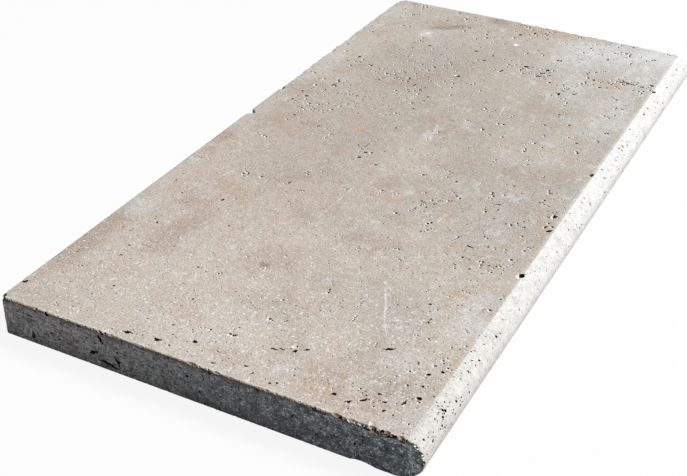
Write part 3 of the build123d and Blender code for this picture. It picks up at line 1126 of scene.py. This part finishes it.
carve(slab, cavities[::2], pit_balls)
carve(slab, cavities[1::2], nick_balls)

# The notch in the middle of the paving edge: a wedge broken from the arris, deepest at its far end.
NOTCH_DEPTH = 6.6
NOTCH_SIZES = (26.0, 14.0, 14.0)
bpy.ops.object.select_all(action="DESELECT")
bpy.ops.mesh.primitive_cube_add(size=1)
notch_block = bpy.context.object
notch_block.data.materials.append(worn_stone)
bpy.ops.object.mode_set(mode="EDIT")
bpy.ops.mesh.subdivide(number_cuts=4)
bpy.ops.transform.vertex_random(offset=0.04, seed=3)
bpy.ops.object.mode_set(mode="OBJECT")
notch_turn = spin(-42, "Z") @ spin(-43, "Y")
far_end = Vector((paving_x, front_y + 317.0, top_z))
notch_middle = far_end + notch_turn @ Vector((0, -NOTCH_SIZES[1] / 2, NOTCH_SIZES[2] / 2 - NOTCH_DEPTH))
notch = Hollow(notch_middle, notch_turn, NOTCH_SIZES)
carve(slab, [notch], [notch_block])

# The far corner of the bullnose is rubbed away.
corner_ball = rough_ball(ground_stone, 31, lumps=0.015, subdivisions=2, smoothing=2)
rubbed_way = Vector((0.11, 0.81, 0.58))
rubbed = Hollow(Vector((nose_x - 4, back_y - 6, top_z - 4.4)) + rubbed_way * 29, LEVEL, (60.0, 60.0, 60.0))
carve(slab, [rubbed], [corner_ball])
for ball in pit_balls + void_balls + rim_balls + nick_balls + flake_balls + [notch_block, corner_ball]:
    bpy.data.objects.remove(ball, do_unlink=True)

# Crumbs that the cuts set loose are brushed off, and the slab is shaded: flat faces stay
# flat, and rounds and hollows are smooth up to their rims.

bpy.ops.object.select_all(action="DESELECT")
slab.select_set(True)
bpy.context.view_layer.objects.active = slab
bpy.ops.object.mode_set(mode="EDIT")
bpy.ops.mesh.select_all(action="DESELECT")
mesh = bmesh.from_edit_mesh(slab.data)
widest = max(mesh.faces, key=lambda face: face.calc_area())
widest.select_set(True)
bmesh.update_edit_mesh(slab.data)
bpy.ops.mesh.select_linked()
bpy.ops.mesh.select_all(action="INVERT")
bpy.ops.mesh.delete(type="VERT")
bpy.ops.object.mode_set(mode="OBJECT")
bpy.ops.object.shade_smooth_by_angle(angle=math.radians(35))
for face in slab.data.polygons:
    if max(abs(share) for share in face.normal) > 0.99999:
        face.use_smooth = False

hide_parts("coping_slab")
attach(slab, "root")

# The studio: a plain white floor, one large soft lamp from the right and behind, and a weak
# cool fill from all round, so the end that faces the camera stays dark.

FLOOR_SIZE = 6.0
FLOOR_DROP = 0.0002
FLOOR_GLOW = 0.9
WHITE = (1.0, 1.0, 1.0, 1.0)

bpy.ops.mesh.primitive_plane_add(size=FLOOR_SIZE, location=(0, 0, -FLOOR_DROP))
floor = bpy.context.object
floor.name = "studio_floor"
bpy.ops.object.transform_apply(location=True, rotation=True, scale=True)
floor_paper = bpy.data.materials.new("floor_paper")
floor_paper.use_nodes = True
tree = floor_paper.node_tree
tree.nodes.clear()
rays = add_node(tree, "ShaderNodeLightPath").outputs
paper = add_node(tree, "ShaderNodeBsdfDiffuse", {"Color": paint(190, 190, 193)}).outputs[0]
bright_paper = add_node(tree, "ShaderNodeBsdfDiffuse", {"Color": paint(232, 232, 232)}).outputs[0]
white = add_node(tree, "ShaderNodeEmission", {"Color": WHITE, "Strength": 1.0}).outputs[0]
shaded_white = add_node(tree, "ShaderNodeMixShader", {0: FLOOR_GLOW, 1: bright_paper, 2: white}).outputs[0]
seen = calc("MAXIMUM", rays["Is Glossy Ray"], rays["Is Transmission Ray"])
seen = calc("MAXIMUM", rays["Is Camera Ray"], seen)
surface = add_node(tree, "ShaderNodeMixShader", {0: seen, 1: paper, 2: shaded_white}).outputs[0]
add_node(tree, "ShaderNodeOutputMaterial", {"Surface": surface})
floor.data.materials.append(floor_paper)

FILL_COLOUR = (0.86, 0.94, 1.0, 1.0)
FILL_STRENGTH = 0.15

scene = bpy.context.scene
scene.world = bpy.data.worlds.new("studio")
scene.world.use_nodes = True
tree = scene.world.node_tree
tree.nodes.clear()
rays = add_node(tree, "ShaderNodeLightPath").outputs
fill = add_node(tree, "ShaderNodeBackground", {"Color": FILL_COLOUR, "Strength": FILL_STRENGTH}).outputs[0]
white = add_node(tree, "ShaderNodeBackground", {"Color": WHITE, "Strength": 1.0}).outputs[0]
sky = add_node(tree, "ShaderNodeMixShader", {0: rays["Is Camera Ray"], 1: fill, 2: white}).outputs[0]
add_node(tree, "ShaderNodeOutputWorld", {"Surface": sky})

KEY_FROM = Vector((0.60, 0.33, 0.73))
KEY_DISTANCE = 5.0
KEY_SIZE = 1.6
KEY_POWER = 325.0
KEY_COLOUR = (1.0, 0.99, 0.975)

bpy.ops.object.light_add(type="AREA", location=KEY_FROM.normalized() * KEY_DISTANCE)
key_lamp = bpy.context.object
key_lamp.name = "key_lamp"
key_lamp.rotation_euler = KEY_FROM.to_track_quat("Z", "Y").to_euler()
key_lamp.data.shape = "SQUARE"
key_lamp.data.size = KEY_SIZE
key_lamp.data.energy = KEY_POWER
key_lamp.data.color = KEY_COLOUR

# The camera, fitted to the slab's edges in the photograph.

CAMERA_PLACE = (0.33587, -0.76322, 0.47672)
CAMERA_TURN = (57.691, -0.560, 27.615)
LENS = 61.994
SENSOR_WIDTH = 36.0

turns = [math.radians(angle) for angle in CAMERA_TURN]
bpy.ops.object.camera_add(location=CAMERA_PLACE, rotation=turns)
camera = bpy.context.object
camera.data.lens = LENS
camera.data.sensor_width = SENSOR_WIDTH
scene.camera = camera
scene.view_settings.view_transform = "Standard"
